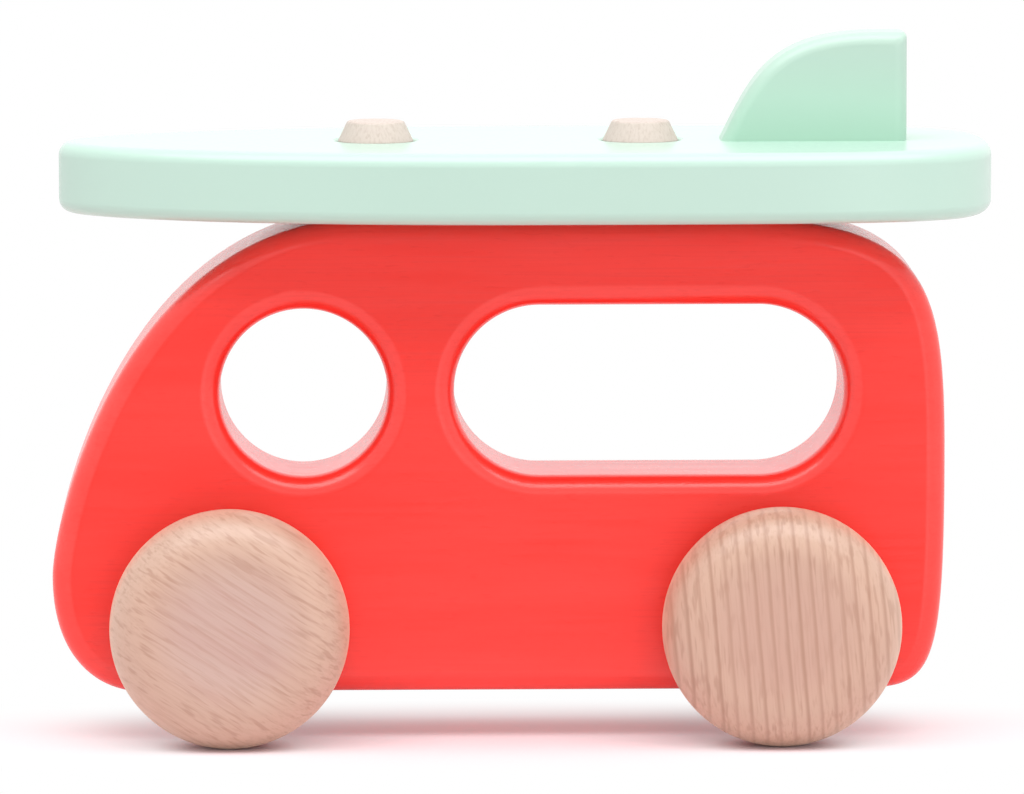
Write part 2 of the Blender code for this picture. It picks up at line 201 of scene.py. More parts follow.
def giveSurface(tree, shader, look, colour, worn, raised):
    # The colour, a shine that changes a little with the worn pattern, and a faint relief
    relief = addNode(tree, "ShaderNodeBump", {
        "Height": raised, "Strength": look["bump"], "Distance": look["relief"],
    })
    feed(tree, shader.inputs["Base Color"], colour)
    feed(tree, shader.inputs["Roughness"], ranged(tree, worn, *noiseSpread, *look["roughness"]))
    feed(tree, shader.inputs["Normal"], relief.outputs["Normal"])
    feed(tree, shader.inputs["IOR"], look["ior"])


redStain = {
    "colour": "#f7342b", "deep": "#e92b24", "light": "#f93b33",
    "drift": (9 * mm, 70 * mm, 9 * mm), "driftRange": (0.35, 0.65),
    # real fibres are finer, these are as wide as a pixel needs
    "fibre": (0.45 * mm, 26 * mm, 0.45 * mm), "fibreRange": (0.45, 0.75), "fibreShare": 0.4,
    "fleck": (0.32 * mm, 2.6 * mm, 0.5 * mm), "fleckRange": (0.62, 0.74), "fleckShare": 0.35,
    "roughness": (0.19, 0.27), "ior": 1.6, "bump": 0.35, "relief": 0.018 * mm,
}


def redStainedBeech(stain):
    # Beech board dyed red and lacquered: one strong even colour, fibres just showing, a soft satin shine
    material, tree, shader = startMaterial("redStainedBeech")
    turned = alongVan(tree, addNode(tree, "ShaderNodeTexCoord").outputs["Object"])
    drift = stretched(tree, turned, *stain["drift"], detail=3.0)
    fibre = stretched(tree, turned, *stain["fibre"], detail=3.0, shift=3.1)
    fleck = stretched(tree, turned, *stain["fleck"], detail=1.0, shift=7.7)
    fleck = ranged(tree, fleck, *stain["fleckRange"])
    tone = blend(tree, ranged(tree, drift, *stain["driftRange"]), stain["colour"], stain["light"])
    streak = ranged(tree, fibre, *stain["fibreRange"], 0.0, stain["fibreShare"])
    streaked = blend(tree, streak, tone, stain["deep"])
    spots = calc(tree, "MULTIPLY", fleck, stain["fleckShare"])
    flecked = blend(tree, spots, streaked, stain["deep"])
    giveSurface(tree, shader, stain, flecked, fibre, calc(tree, "SUBTRACT", fibre, fleck))
    return material


# The paint goes from its low colour to its full one between the two heights of the fade; on the fin that
# low colour is painted shade and painted mint light bounced off the board
boardPaint = {
    "colour": "#bddacc", "cool": "#bad9cd", "warm": "#c0dbcb", "low": "#bddacc", "fade": (0.0, 1.0),
    "drift": (22 * mm, 40 * mm, 22 * mm), "driftRange": (0.35, 0.65),
    "fibre": (0.7 * mm, 30 * mm, 0.7 * mm), "fibreRange": (0.4, 0.7), "fibreShare": (0.3, 0.8),
    "peel": (0.8 * mm, 0.9 * mm, 0.8 * mm),
    "roughness": (0.25, 0.27), "ior": 1.5, "bump": 0.3, "relief": 0.003 * mm,
}
finPaint = {
    **boardPaint,
    # the fin's low colour, darker and greener, is painted shade and mint light bounced off the board
    # near the fin's base
    "colour": "#b7d2c5", "cool": "#b5d1c6", "warm": "#b9d3c4", "low": "#add1bd",
    "fade": (94 * mm, 112 * mm), "roughness": (0.31, 0.33),
}


def mintPaintedBeech(name, paint):
    # Beech under two coats of water-based paint: smooth mint, grain barely raised; darker and greener
    # low on the fin, where shade and mint light from the board are painted in
    material, tree, shader = startMaterial(name)
    place = addNode(tree, "ShaderNodeTexCoord").outputs["Object"]
    turned = alongVan(tree, place)
    drift = stretched(tree, turned, *paint["drift"], detail=3.0)
    peel = stretched(tree, turned, *paint["peel"], detail=1.0, shift=2.3)
    fibre = stretched(tree, turned, *paint["fibre"], detail=2.0, shift=5.9)
    height = addNode(tree, "ShaderNodeSeparateXYZ", {0: place}).outputs["Z"]
    tone = blend(tree, ranged(tree, drift, *paint["driftRange"]), paint["cool"], paint["warm"])
    covered = ranged(tree, fibre, *paint["fibreRange"], *paint["fibreShare"])
    colour = blend(tree, covered, tone, paint["colour"])
    # darker and greener towards the fin's base: painted shade and painted bounce light from the board
    shadedTowardsBase = blend(tree, ranged(tree, height, *paint["fade"]), paint["low"], colour)
    giveSurface(tree, shader, paint, shadedTowardsBase, peel, calc(tree, "ADD", peel, fibre))
    return material


wheelBeech = {
    "colour": "#bc9c93", "light": "#c3a99f", "warm": "#bd9683", "line": "#a27862",
    # the rim colour is the wood's warmer tone with a painted glow for the light the rounded rim catches
    "rim": "#c4a18c", "rimToneAndGlowShare": 0.85, "calmWithin": (6 * mm, 15 * mm),
    "drift": (7 * mm, 26 * mm, 7 * mm),
    "ringSpacing": 3.0 * mm, "ringWander": 0.45, "bend": (14 * mm, 50 * mm, 30 * mm),
    "lateWood": (0.5, 0.78, 0.96),  # where in a ring its line begins, is darkest and is gone
    "lineWeight": (0.6, 0.9),
    # real fibres are finer, these are as wide as a pixel needs
    "fibre": (0.5 * mm, 12 * mm, 0.5 * mm), "fibreRange": (0.45, 0.78), "fibreShare": 0.3,
    "dash": (1.0 * mm, 5.0 * mm, 1.8 * mm), "dashRange": (0.52, 0.70), "dashShare": (0.156, 0.52),
    "roughness": (0.35, 0.48), "ior": 1.7, "bump": 0.4, "relief": 0.03 * mm,
    "fuzz": 0.5, "fuzzRoughness": 0.5, "fuzzTint": "#ffe6cc",
}


def plainBeech(wood):
    # Oiled beech, turned and sanded: pinkish tan with thin lines of late wood and short dashes,
    # warmer and lighter towards the rim, partly a painted glow for the light it catches, with a soft
    # satin shine
    material, tree, shader = startMaterial("plainBeech")
    grain = ownAttribute(tree, "grainPlace", "Vector")
    ringShare = ownAttribute(tree, "ringShare")
    fromAxle = ownAttribute(tree, "fromAxle")
    fibre = stretched(tree, grain, *wood["fibre"], detail=3.0)
    drift = stretched(tree, grain, *wood["drift"], detail=2.0, shift=4.4)
    dash = stretched(tree, grain, *wood["dash"], detail=1.0, shift=1.9)
    dash = ranged(tree, dash, *wood["dashRange"])
    # year rings: distance across the fibres, bent a little, counted in ring spacings
    bend = stretched(tree, grain, *wood["bend"], detail=2.0, shift=9.2)
    across = addNode(tree, "ShaderNodeSeparateXYZ", {0: grain}).outputs["X"]
    count = calc(tree, "DIVIDE", across, wood["ringSpacing"])
    bent = calc(tree, "MULTIPLY_ADD", bend, wood["ringWander"], count)
    within = calc(tree, "FRACT", bent)
    ringTone = addNode(tree, "ShaderNodeTexWhiteNoise", {
        "W": calc(tree, "FLOOR", bent),
    }, noise_dimensions="1D").outputs["Value"]
    begins, darkest, gone = wood["lateWood"]
    rise = ranged(tree, within, begins, darkest)
    drop = ranged(tree, within, darkest, gone, 1.0, 0.0)
    weight = ranged(tree, ringTone, 0.0, 1.0, *wood["lineWeight"])
    line = calc(tree, "MULTIPLY", calc(tree, "MULTIPLY", rise, drop), weight)
    line = calc(tree, "MULTIPLY", line, ringShare)
    tone = blend(tree, ranged(tree, drift, *noiseSpread), wood["colour"], wood["light"])
    # ringed cuts come from warmer wood
    tone = blend(tree, ringShare, tone, wood["warm"])
    # the rim turns warmer and lighter: partly the wood's warmer tone, partly a painted glow standing in
    # for the light the rounded rim catches
    rimToneAndGlow = ranged(tree, fromAxle, *wood["calmWithin"], 0.0, wood["rimToneAndGlowShare"])
    tone = blend(tree, rimToneAndGlow, tone, wood["rim"])
    ringed = blend(tree, line, tone, wood["line"])
    streak = ranged(tree, fibre, *wood["fibreRange"], 0.0, wood["fibreShare"])
    fibred = blend(tree, streak, ringed, wood["line"])
    # the rounded rim cuts the fibres at a slant, so their ends show there more than in the middle
    slant = ranged(tree, fromAxle, *wood["calmWithin"], *wood["dashShare"])
    dashed = blend(tree, calc(tree, "MULTIPLY", dash, slant), fibred, wood["line"])
    giveSurface(tree, shader, wood, dashed, fibre, calc(tree, "SUBTRACT", fibre, dash))
    # sanding leaves a fine nap that catches the light on the turned-away rim
    feed(tree, shader.inputs["Sheen Weight"], wood["fuzz"])
    feed(tree, shader.inputs["Sheen Roughness"], wood["fuzzRoughness"])
    feed(tree, shader.inputs["Sheen Tint"], hexToLinear(wood["fuzzTint"]))
    return material


dowelBirch = {
    "colour": "#d1c3ba", "dark": "#b8a69a", "darkShare": 0.5,
    # real fibres and pores are finer, these are as wide as a pixel needs
    "fibre": (0.4 * mm, 14 * mm, 0.4 * mm), "fibreRange": (0.4, 0.8),
    "pore": (0.5 * mm, 6 * mm, 0.5 * mm), "poreRange": (0.58, 0.72),
    "roughness": (0.5, 0.63), "ior": 1.45, "bump": 0.4, "relief": 0.03 * mm,
}


def birchDowel(wood):
    # Bought birch dowel, sanded: pale cream, streaks along the side and fine dots on the cut end
    material, tree, shader = startMaterial("birchDowel")
    grain = ownAttribute(tree, "grainPlace", "Vector")
    fibre = stretched(tree, grain, *wood["fibre"], detail=3.0)
    pore = stretched(tree, grain, *wood["pore"], detail=1.0, shift=6.3)
    streaks = ranged(tree, fibre, *wood["fibreRange"], 0.0, wood["darkShare"])
    dots = ranged(tree, pore, *wood["poreRange"], 0.0, wood["darkShare"])
    colour = blend(tree, calc(tree, "MAXIMUM", streaks, dots), wood["colour"], wood["dark"])
    giveSurface(tree, shader, wood, colour, fibre, fibre)
    return material


red = redStainedBeech(redStain)
boardMint = mintPaintedBeech("mintPaintedBeech", boardPaint)
finMint = mintPaintedBeech("mintPaintedBeechFin", finPaint)
beech = plainBeech(wheelBeech)
birch = birchDowel(dowelBirch)
print("materials ready")


# Plates: flat outlines with rounded edges

def drawOutline(curve, points):
    # Each point is its place, then the handles before and after it, or None beside a straight run
    spline = curve.splines.new("BEZIER")
    spline.bezier_points.add(len(points) - 1)
    spline.use_cyclic_u = True
    for bezier, (place, before, after) in zip(spline.bezier_points, points):
        bezier.co = (*place, 0.0)
        bezier.handle_left_type = "FREE" if before else "VECTOR"
        bezier.handle_right_type = "FREE" if after else "VECTOR"
        bezier.handle_left = (*(before or place), 0.0)
        bezier.handle_right = (*(after or place), 0.0)


def slotOutline(left, right, middle, height):
    # Half-round ends joined by straight runs, or a circle where there is no room for them
    radius = height / 2
    reach = radius * 4 / 3 * math.tan(math.pi / 8)
    top, low = middle + radius, middle - radius
    startX, endX = left + radius, right - radius
    rightEnd = ((right, middle), (right, middle - reach), (right, middle + reach))
    leftEnd = ((left, middle), (left, middle + reach), (left, middle - reach))
    if endX - startX < weldWithin:
        overTop = [((startX, top), (startX + reach, top), (startX - reach, top))]
        under = [((startX, low), (startX - reach, low), (startX + reach, low))]
    else:
        overTop = [
            ((endX, top), (endX + reach, top), None),
            ((startX, top), None, (startX - reach, top)),
        ]
        under = [
            ((startX, low), (startX - reach, low), None),
            ((endX, low), None, (endX + reach, low)),
        ]
    return [rightEnd, *overTop, leftEnd, *under]


def plate(name, outlines, thickness, edgeRadius, place, outlineSteps=40, edgeSteps=6):
    curve = bpy.data.curves.new(name, "CURVE")
    curve.dimensions = "2D"
    curve.fill_mode = "BOTH"
    curve.resolution_u = outlineSteps
    curve.extrude = thickness / 2 - edgeRadius
    curve.bevel_depth = edgeRadius
    curve.bevel_resolution = edgeSteps
    curve.offset = -edgeRadius
    for outline in outlines:
        drawOutline(curve, outline)
    drawn = newObject(name + "Outline", curve)
    graph = bpy.context.evaluated_depsgraph_get()
    mesh = bpy.data.meshes.new_from_object(drawn.evaluated_get(graph))
    bpy.data.objects.remove(drawn, do_unlink=True)
    bpy.data.curves.remove(curve)
    shape = bmesh.new()
    shape.from_mesh(mesh)
    bmesh.ops.remove_doubles(shape, verts=shape.verts, dist=weldWithin)
    bmesh.ops.dissolve_limit(shape, angle_limit=flatWithin, verts=shape.verts, edges=shape.edges)
    bmesh.ops.recalc_face_normals(shape, faces=shape.faces)
    shape.transform(place)
    shape.to_mesh(mesh)
    shape.free()
    return newObject(name, mesh)


def loft(name, rings, place):
    # Closed rings with the same number of points, joined in order and capped at both ends
    mesh = bpy.data.meshes.new(name)
    shape = bmesh.new()
    rows = [[shape.verts.new(spot) for spot in ring] for ring in rings]
    for upper, lower in zip(rows, rows[1:]):
        for i in range(len(upper)):
            k = (i + 1) % len(upper)
            shape.faces.new((upper[i], lower[i], lower[k], upper[k]))
    shape.faces.new(rows[0])
    shape.faces.new(rows[-1][::-1])
    bmesh.ops.recalc_face_normals(shape, faces=shape.faces)
    shape.transform(place)
    shape.to_mesh(mesh)
    shape.free()
    return newObject(name, mesh)


def roundCutter(name, profile, place, steps=96):
    # A (radius, height) profile from top to bottom, turned round Z, for cutting holes
    turn = [2 * math.pi * i / steps for i in range(steps)]
    rings = []
    for radius, height in profile:
        rings.append([(radius * math.cos(a), radius * math.sin(a), height) for a in turn])
    return loft(name, rings, place)


def cutHoles(piece, cutters):
    for cutter in cutters:
        boolean = piece.modifiers.new(cutter.name, "BOOLEAN")
        boolean.operation = "DIFFERENCE"
        boolean.solver = "EXACT"
        boolean.object = cutter
    bakeModifiers(piece)
    for cutter in cutters:
        bpy.data.objects.remove(cutter, do_unlink=True)
    tidyNormals(piece)


def mouthProfile(radius, top, bottom, softness, steps=6):
    # A straight hole whose rim opens out in a quarter round of the given softness just under the top
    rim = []
    for i in range(steps + 1):
        angle = math.pi / 2 * i / steps
        drop = mouthStep + softness * (1 - math.cos(angle))
        rim.append((radius + softness * (1 - math.sin(angle)), top - drop))
    return [(radius + softness, top + cutterOverlap), *rim, (radius, bottom)]


def throughProfile(radius, thickness, softness):
    # The same soft mouth at both faces of a board, counted from its middle
    half = mouthProfile(radius, thickness / 2, 0.0, softness)
    return half + [(r, -h) for r, h in reversed(half[:-1])]


def dowelHole(end, clearance, top=None, bottom=None):
    # A blind hole round one fin dowel, open at the top or bottom height that is given
    low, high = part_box(f"fin_dowel_{end}")
    centre = (low + high) / 2
    radius = (high.x - low.x) / 2 + clearance
    upper = high.z + clearance if top is None else top
    lower = low.z - clearance if bottom is None else bottom
    spot = Matrix.Translation((centre.x, centre.y, 0.0))
    return roundCutter(f"{end}DowelHole", [(radius, upper), (radius, lower)], spot, steps=48)


upright = Matrix.Rotation(math.pi / 2, 4, "X")  # an outline drawn flat, stood up along the van's side

vanBody = {
    "edge": 3.4 * mm,
    "noseHeight": 18.4 * mm, "noseUp": 9.2 * mm, "noseDown": 14.5 * mm,
    "roofFront": 50.5 * mm, "roofForward": 39.0 * mm,
    "roofRear": 41.0 * mm, "roofBack": 38.5 * mm,
    "tailHeight": 36.3 * mm, "tailUp": 31.5 * mm, "tailDown": 35.9 * mm,
    "bellyFront": 13.8 * mm, "bellyForward": 5.2 * mm,
    "bellyRear": 15.3 * mm, "bellyBack": 13.3 * mm,
    "sill": 34.6 * mm, "roundWindow": 26.7 * mm, "longWindow": 27.2 * mm,
    "noseToWindow": 26.8 * mm, "pillar": 10.6 * mm, "windowToTail": 16.2 * mm,
    "boreClearance": 0.4 * mm, "boreSoftness": 0.4 * mm,
    "socketClearance": 0.06 * mm, "socketDepth": 9.0 * mm, "socketSoftness": 0.15 * mm,
}


def makeVanBody(sizes):
    low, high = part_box("van_body")
    length, height, thickness = high.x - low.x, high.z - low.z, high.y - low.y
    nose, tail = (0.0, sizes["noseHeight"]), (length, sizes["tailHeight"])
    roofFront, roofRear = (sizes["roofFront"], height), (length - sizes["roofRear"], height)
    bellyFront, bellyRear = (sizes["bellyFront"], 0.0), (length - sizes["bellyRear"], 0.0)
    side = [
        (roofFront, None, (roofFront[0] - sizes["roofForward"], height)),
        (nose, (0.0, nose[1] + sizes["noseUp"]), (0.0, nose[1] - sizes["noseDown"])),
        (bellyFront, (bellyFront[0] - sizes["bellyForward"], 0.0), None),
        (bellyRear, None, (bellyRear[0] + sizes["bellyBack"], 0.0)),
        (tail, (length, tail[1] - sizes["tailDown"]), (length, tail[1] + sizes["tailUp"])),
        (roofRear, (roofRear[0] + sizes["roofBack"], height), None),
    ]
    sill, roundHeight, longHeight = sizes["sill"], sizes["roundWindow"], sizes["longWindow"]
    roundLeft, longRight = sizes["noseToWindow"], length - sizes["windowToTail"]
    roundRight = roundLeft + roundHeight
    windows = [
        slotOutline(roundLeft, roundRight, sill + roundHeight / 2, roundHeight),
        slotOutline(roundRight + sizes["pillar"], longRight, sill + longHeight / 2, longHeight),
    ]
    place = Matrix.Translation((low.x, (low.y + high.y) / 2, low.z)) @ upright
    body = plate("vanBody", [side, *windows], thickness, sizes["edge"], place)
    cutters = []
    for end in bothEnds:
        radius = boxSize(f"{end}_axle").z / 2 + sizes["boreClearance"]
        bore = throughProfile(radius, thickness, sizes["boreSoftness"])
        across = Matrix.Translation(boxCentre(f"{end}_axle")) @ upright
        cutters.append(roundCutter(f"{end}AxleBore", bore, across))
        peg = boxCentre(f"roof_peg_{end}")
        radius = boxSize(f"roof_peg_{end}").x / 2 + sizes["socketClearance"]
        socket = mouthProfile(radius, high.z, high.z - sizes["socketDepth"], sizes["socketSoftness"])
        spot = Matrix.Translation((peg.x, peg.y, 0.0))
        cutters.append(roundCutter(f"{end}PegSocket", socket, spot))
    cutHoles(body, cutters)
    settle(body, red, "van", "red_stained_wood", "van_body")


makeVanBody(vanBody)
print("van body ready")

surfboard = {
    "edge": 2.2 * mm,
    "noseSweep": 14.0 * mm, "sideForward": 43.0 * mm, "sideBack": 60.0 * mm, "tailSweep": 28.0 * mm,
    "holeClearance": 0.4 * mm, "holeSoftness": 0.5 * mm,
    "dowelClearance": 0.1 * mm,
}


def makeSurfboard(sizes):
    low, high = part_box("surfboard")
    length, width, thickness = high.x - low.x, high.y - low.y, high.z - low.z
    noseX, tailX, sideY = -length / 2, length / 2, width / 2
    outline = [
        ((noseX, 0.0), (noseX, sizes["noseSweep"]), (noseX, -sizes["noseSweep"])),
        ((0.0, -sideY), (-sizes["sideForward"], -sideY), (sizes["sideBack"], -sideY)),
        ((tailX, 0.0), (tailX, -sizes["tailSweep"]), (tailX, sizes["tailSweep"])),
        ((0.0, sideY), (sizes["sideBack"], sideY), (-sizes["sideForward"], sideY)),
    ]
    place = Matrix.Translation((low + high) / 2)
    board = plate("mintSurfboard", [outline], thickness, sizes["edge"], place, outlineSteps=64)
    cutters = []
    for end in bothEnds:
        peg = boxCentre(f"roof_peg_{end}")
        radius = boxSize(f"roof_peg_{end}").x / 2 + sizes["holeClearance"]
        hole = throughProfile(radius, thickness, sizes["holeSoftness"])
        spot = Matrix.Translation((peg.x, peg.y, (low.z + high.z) / 2))
        cutters.append(roundCutter(f"{end}PegHole", hole, spot))
        cutters.append(dowelHole(end, sizes["dowelClearance"], top=high.z + thickness))
    cutHoles(board, cutters)
    settle(board, boardMint, "surfboard", "mint_painted_wood", "surfboard")


makeSurfboard(surfboard)
print("surfboard ready")

boardFin = {
    "edge": 2.0 * mm, "corner": 0.9 * mm,
    "topFlat": 4.5 * mm, "topSweep": 17.5 * mm, "frontSweep": 11.2 * mm, "frontAngle": math.radians(63),
    "curveSteps": 36, "edgeSteps": 8, "cornerSteps": 6, "dowelClearance": 0.1 * mm,
}


def finSide(sizes, length, height):
    # Side view from the front of the base, up the leading edge and down the upright rear.
    # Each point comes with the way it moves as the outline shrinks; the base line stays on the board.
    lean = sizes["frontAngle"]
    start, topFront = Vector((0.0, 0.0)), Vector((length - sizes["topFlat"], height))
    rise = start + Vector((math.cos(lean), math.sin(lean))) * sizes["frontSweep"]
    level = topFront - Vector((sizes["topSweep"], 0.0))
    curve = interpolate_bezier(start, rise, level, topFront, sizes["curveSteps"])
    side = [(start, Vector((1 / math.sin(lean), 0.0)))]
    for before, here, after in zip(curve, curve[1:], curve[2:]):
        along = (after - before).normalized()
        side.append((here, Vector((along.y, -along.x))))
    side.append((topFront, Vector((0.0, -1.0))))
    middle = Vector((length, height)) - Vector((1.0, 1.0)) * sizes["corner"]
    for i in range(sizes["cornerSteps"] + 1):
        angle = math.pi / 2 * (1 - i / sizes["cornerSteps"])
        spot = middle + Vector((math.cos(angle), math.sin(angle))) * sizes["corner"]
        side.append((spot, Vector((-1.0, -1.0))))
    side.append((Vector((length, 0.0)), Vector((-1.0, 0.0))))
    return side


def makeFin(sizes):
    low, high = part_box("surfboard_fin")
    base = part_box("surfboard")[1].z  # the fin is glued down, so it reaches the board's top
    length, height, half = high.x - low.x, high.z - base, (high.y - low.y) / 2
    side = finSide(sizes, length, height)
    rounding = []
    for i in range(sizes["edgeSteps"] + 1):
        angle = math.pi / 2 * i / sizes["edgeSteps"]
        inset = sizes["edge"] * (1 - math.cos(angle))
        rounding.append((inset, half - sizes["edge"] * (1 - math.sin(angle))))
    layers = [(inset, -depth) for inset, depth in reversed(rounding)] + rounding
    rings = []
    for inset, depth in layers:
        shrunk = [spot + move * inset for spot, move in side]
        rings.append([(spot.x, depth, spot.y) for spot in shrunk])
    fin = loft("mintFin", rings, Matrix.Translation((low.x, (low.y + high.y) / 2, base)))
    cutHoles(fin, [dowelHole(end, sizes["dowelClearance"], bottom=base - height) for end in bothEnds])
    settle(fin, finMint, "surfboard", "mint_painted_wood", "surfboard_fin")


makeFin(boardFin)
print("fin ready")


# Turned pieces: one lathe in Geometry Nodes for wheels, pegs, axles and dowels

def latheTree(name, sizeNames, drawProfile):
    # drawProfile gives (radius, height, fillet), from the top of the axis over the outside to its foot
    tree = bpy.data.node_groups.new(name, "GeometryNodeTree")
    face = tree.interface
    face.new_socket("Geometry", in_out="OUTPUT", socket_type="NodeSocketGeometry")
    kinds = {
        "Segments": "Int", "Edge Steps": "Int", "Grain Shift": "Vector", "Grain Turn": "Rotation",
        "Ring Share": "Float", "Grain Squeeze": "Float", "Turn": "Rotation", "Place": "Vector",
        "Finish": "Material", **{size: "Float" for size in sizeNames},
    }
    keys = {}
    for label, kind in kinds.items():
        socket = face.new_socket(label, in_out="INPUT", socket_type="NodeSocket" + kind)
        keys[label] = socket.identifier
    given = addNode(tree, "NodeGroupInput").outputs
    profile = drawProfile(tree, given)
    index = addNode(tree, "GeometryNodeInputIndex").outputs[0]
    spots = addNode(tree, "GeometryNodeIndexSwitch", {"Index": index}, data_type="VECTOR")
    fillets = addNode(tree, "GeometryNodeIndexSwitch", {"Index": index}, data_type="FLOAT")
    for switch in (spots, fillets):
        while len(switch.index_switch_items) < len(profile):
            switch.index_switch_items.new()
    for i, (radius, height, fillet) in enumerate(profile):
        spot = addNode(tree, "ShaderNodeCombineXYZ", {"X": radius, "Z": height}).outputs[0]
        feed(tree, spots.inputs[i + 1], spot)
        feed(tree, fillets.inputs[i + 1], fillet)
    dots = addNode(tree, "GeometryNodePoints", {"Count": len(profile), "Position": spots.outputs[0]})
    line = addNode(tree, "GeometryNodePointsToCurves", {"Points": dots.outputs[0]})
    rounded = addNode(tree, "GeometryNodeFilletCurve", {
        "Curve": line.outputs[0], "Count": given["Edge Steps"],
        "Radius": fillets.outputs[0], "Limit Radius": True,
    }, mode="POLY").outputs[0]
    rings = addNode(tree, "GeometryNodeAttributeDomainSize", {0: rounded}, component="CURVE")
    columns = calc(tree, "ADD", given["Segments"], 1.0)
    sheet = addNode(tree, "GeometryNodeMeshGrid", {
        "Vertices X": rings.outputs["Point Count"], "Vertices Y": columns,
    }).outputs["Mesh"]
    # every grid point takes its ring's spot on the profile and its column's angle
    ring = calc(tree, "FLOOR", calc(tree, "DIVIDE", index, columns))
    turns = calc(tree, "DIVIDE", calc(tree, "MODULO", index, columns), given["Segments"])
    angle = calc(tree, "MULTIPLY", turns, 2 * math.pi)
    here = addNode(tree, "GeometryNodeInputPosition").outputs[0]
    spot = addNode(tree, "GeometryNodeSampleIndex", {
        "Geometry": rounded, "Value": here, "Index": ring,
    }, data_type="FLOAT_VECTOR", domain="POINT").outputs[0]
    onAxis = addNode(tree, "ShaderNodeVectorRotate", {
        "Vector": spot, "Angle": angle,
    }, rotation_type="Z_AXIS").outputs[0]
    spun = addNode(tree, "GeometryNodeSetPosition", {"Geometry": sheet, "Position": onAxis})
    shape = addNode(tree, "GeometryNodeMergeByDistance", {
        "Geometry": spun.outputs[0], "Distance": weldWithin,
    }).outputs[0]
    # where each point lay in its plank: fibres along Y, year rings stacked along X
    inPlank = addNode(tree, "FunctionNodeRotateVector", {
        "Vector": here, "Rotation": given["Grain Turn"],
    }).outputs[0]
    squeeze = addNode(tree, "ShaderNodeCombineXYZ", {"X": given["Grain Squeeze"], "Y": 1.0, "Z": 1.0})
    squeezed = calcVector(tree, "MULTIPLY", inPlank, squeeze.outputs[0])
    flat = calcVector(tree, "MULTIPLY", here, (1.0, 1.0, 0.0))
    marks = {
        "grainPlace": ("FLOAT_VECTOR", calcVector(tree, "ADD", squeezed, given["Grain Shift"])),
        "ringShare": ("FLOAT", given["Ring Share"]),
        "fromAxle": ("FLOAT", calcVector(tree, "LENGTH", flat)),
    }
    for label, (kind, value) in marks.items():
        shape = addNode(tree, "GeometryNodeStoreNamedAttribute", {
            "Geometry": shape, "Name": label, "Value": value,
        }, data_type=kind, domain="POINT").outputs[0]
    placed = addNode(tree, "GeometryNodeTransform", {
        "Geometry": shape, "Translation": given["Place"], "Rotation": given["Turn"],
    })
    real = addNode(tree, "GeometryNodeRealizeInstances", {"Geometry": placed.outputs[0]})
    done = addNode(tree, "GeometryNodeSetMaterial", {
        "Geometry": real.outputs[0], "Material": given["Finish"],
    })
    addNode(tree, "NodeGroupOutput", {0: done.outputs[0]})
    return tree, keys


def turnPiece(name, lathe, values):
    tree, keys = lathe
    piece = newObject(name, bpy.data.meshes.new(name))
    modifier = piece.modifiers.new("lathe", "NODES")
    modifier.node_group = tree
    for label, value in values.items():
        modifier[keys[label]] = value
    bakeModifiers(piece)
    tidyNormals(piece)
    return piece


wheelSizes = [
    "Tread Radius", "Width", "Outer Rim", "Inner Rim", "Bore Radius", "Bore Depth", "Bore Softness",
]
dowelSizes = ["Radius", "Length", "Tip Radius", "Tip Height", "Tip Softness", "Foot Chamfer"]


def wheelProfile(tree, given):
    # outer face, rounded outer rim, tread, rounded inner rim, inner face and the blind hole for the axle
    tread, width, outer, inner, bore, depth, soft = (given[label] for label in wheelSizes)
    return [
        (0.0, width, 0.0), (tread, width, outer), (tread, 0.0, inner),
        (bore, 0.0, soft), (bore, depth, 0.0), (0.0, depth, 0.0),
    ]


def dowelProfile(tree, given):
    # flat tip, sloping shoulder, straight side and a small chamfer at the foot
    radius, length, tip, tipHeight, soft, chamfer = (given[label] for label in dowelSizes)
    shoulder = calc(tree, "SUBTRACT", length, tipHeight)
    foot = calc(tree, "SUBTRACT", radius, chamfer)
    return [
        (0.0, length, 0.0), (tip, length, soft), (radius, shoulder, soft),
        (radius, chamfer, 0.0), (foot, 0.0, 0.0), (0.0, 0.0, 0.0),
    ]


wheelLathe = latheTree("turnedWheel", wheelSizes, wheelProfile)
dowelLathe = latheTree("turnedDowel", dowelSizes, dowelProfile)

wheels = {
    "outerRim": 7.0 * mm, "innerRim": 6.5 * mm, "boreClearance": 0.05 * mm, "boreSoftness": 0.4 * mm,
    "segments": 160, "edgeSteps": 18,
    # how each wheel was cut: the fibres' turn about the axle, a shift in the plank,
    # how strongly the rings show and how close they lie
    "cut": {
        "front_left": (math.radians(-57), (11 * mm, 4 * mm, 0.0), 0.25, 1.6),
        "front_right": (math.radians(24), (41 * mm, 17 * mm, 9 * mm), 0.6, 1.2),
        "rear_left": (math.radians(-5), (73 * mm, 31 * mm, 5 * mm), 0.9, 1.35),
        "rear_right": (math.radians(-38), (97 * mm, 52 * mm, 14 * mm), 0.5, 1.3),
    },
}


def makeWheels(sizes):
    for end in bothEnds:
        axleLow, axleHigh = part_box(f"{end}_axle")
        for side, direction in (("left", -1), ("right", 1)):
            node = f"{end}_wheel_{side}"
            low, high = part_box(node)
            centre = (low + high) / 2
            innerY = high.y if direction < 0 else low.y
            axleEnd = axleLow.y if direction < 0 else axleHigh.y
            turn, shift, ringShare, squeeze = sizes["cut"][f"{end}_{side}"]
            wheel = turnPiece(f"{end}Wheel{side.title()}", wheelLathe, {
                "Tread Radius": (high.z - low.z) / 2,
                "Width": high.y - low.y,
                "Outer Rim": sizes["outerRim"],
                "Inner Rim": sizes["innerRim"],
                "Bore Radius": (axleHigh.z - axleLow.z) / 2 + sizes["boreClearance"],
                "Bore Depth": abs(axleEnd - innerY) + sizes["boreClearance"],
                "Bore Softness": sizes["boreSoftness"],
                "Segments": sizes["segments"],
                "Edge Steps": sizes["edgeSteps"],
                "Grain Turn": (0.0, 0.0, turn),
                "Grain Shift": shift,
                "Ring Share": ringShare,
                "Grain Squeeze": squeeze,
                "Turn": (-direction * math.pi / 2, 0.0, 0.0),
                "Place": (centre.x, innerY, centre.z),
                "Finish": beech,
            })
            settle(wheel, beech, f"{end}_wheelset", "plain_wheel_wood", node)


makeWheels(wheels)
print("wheels ready")

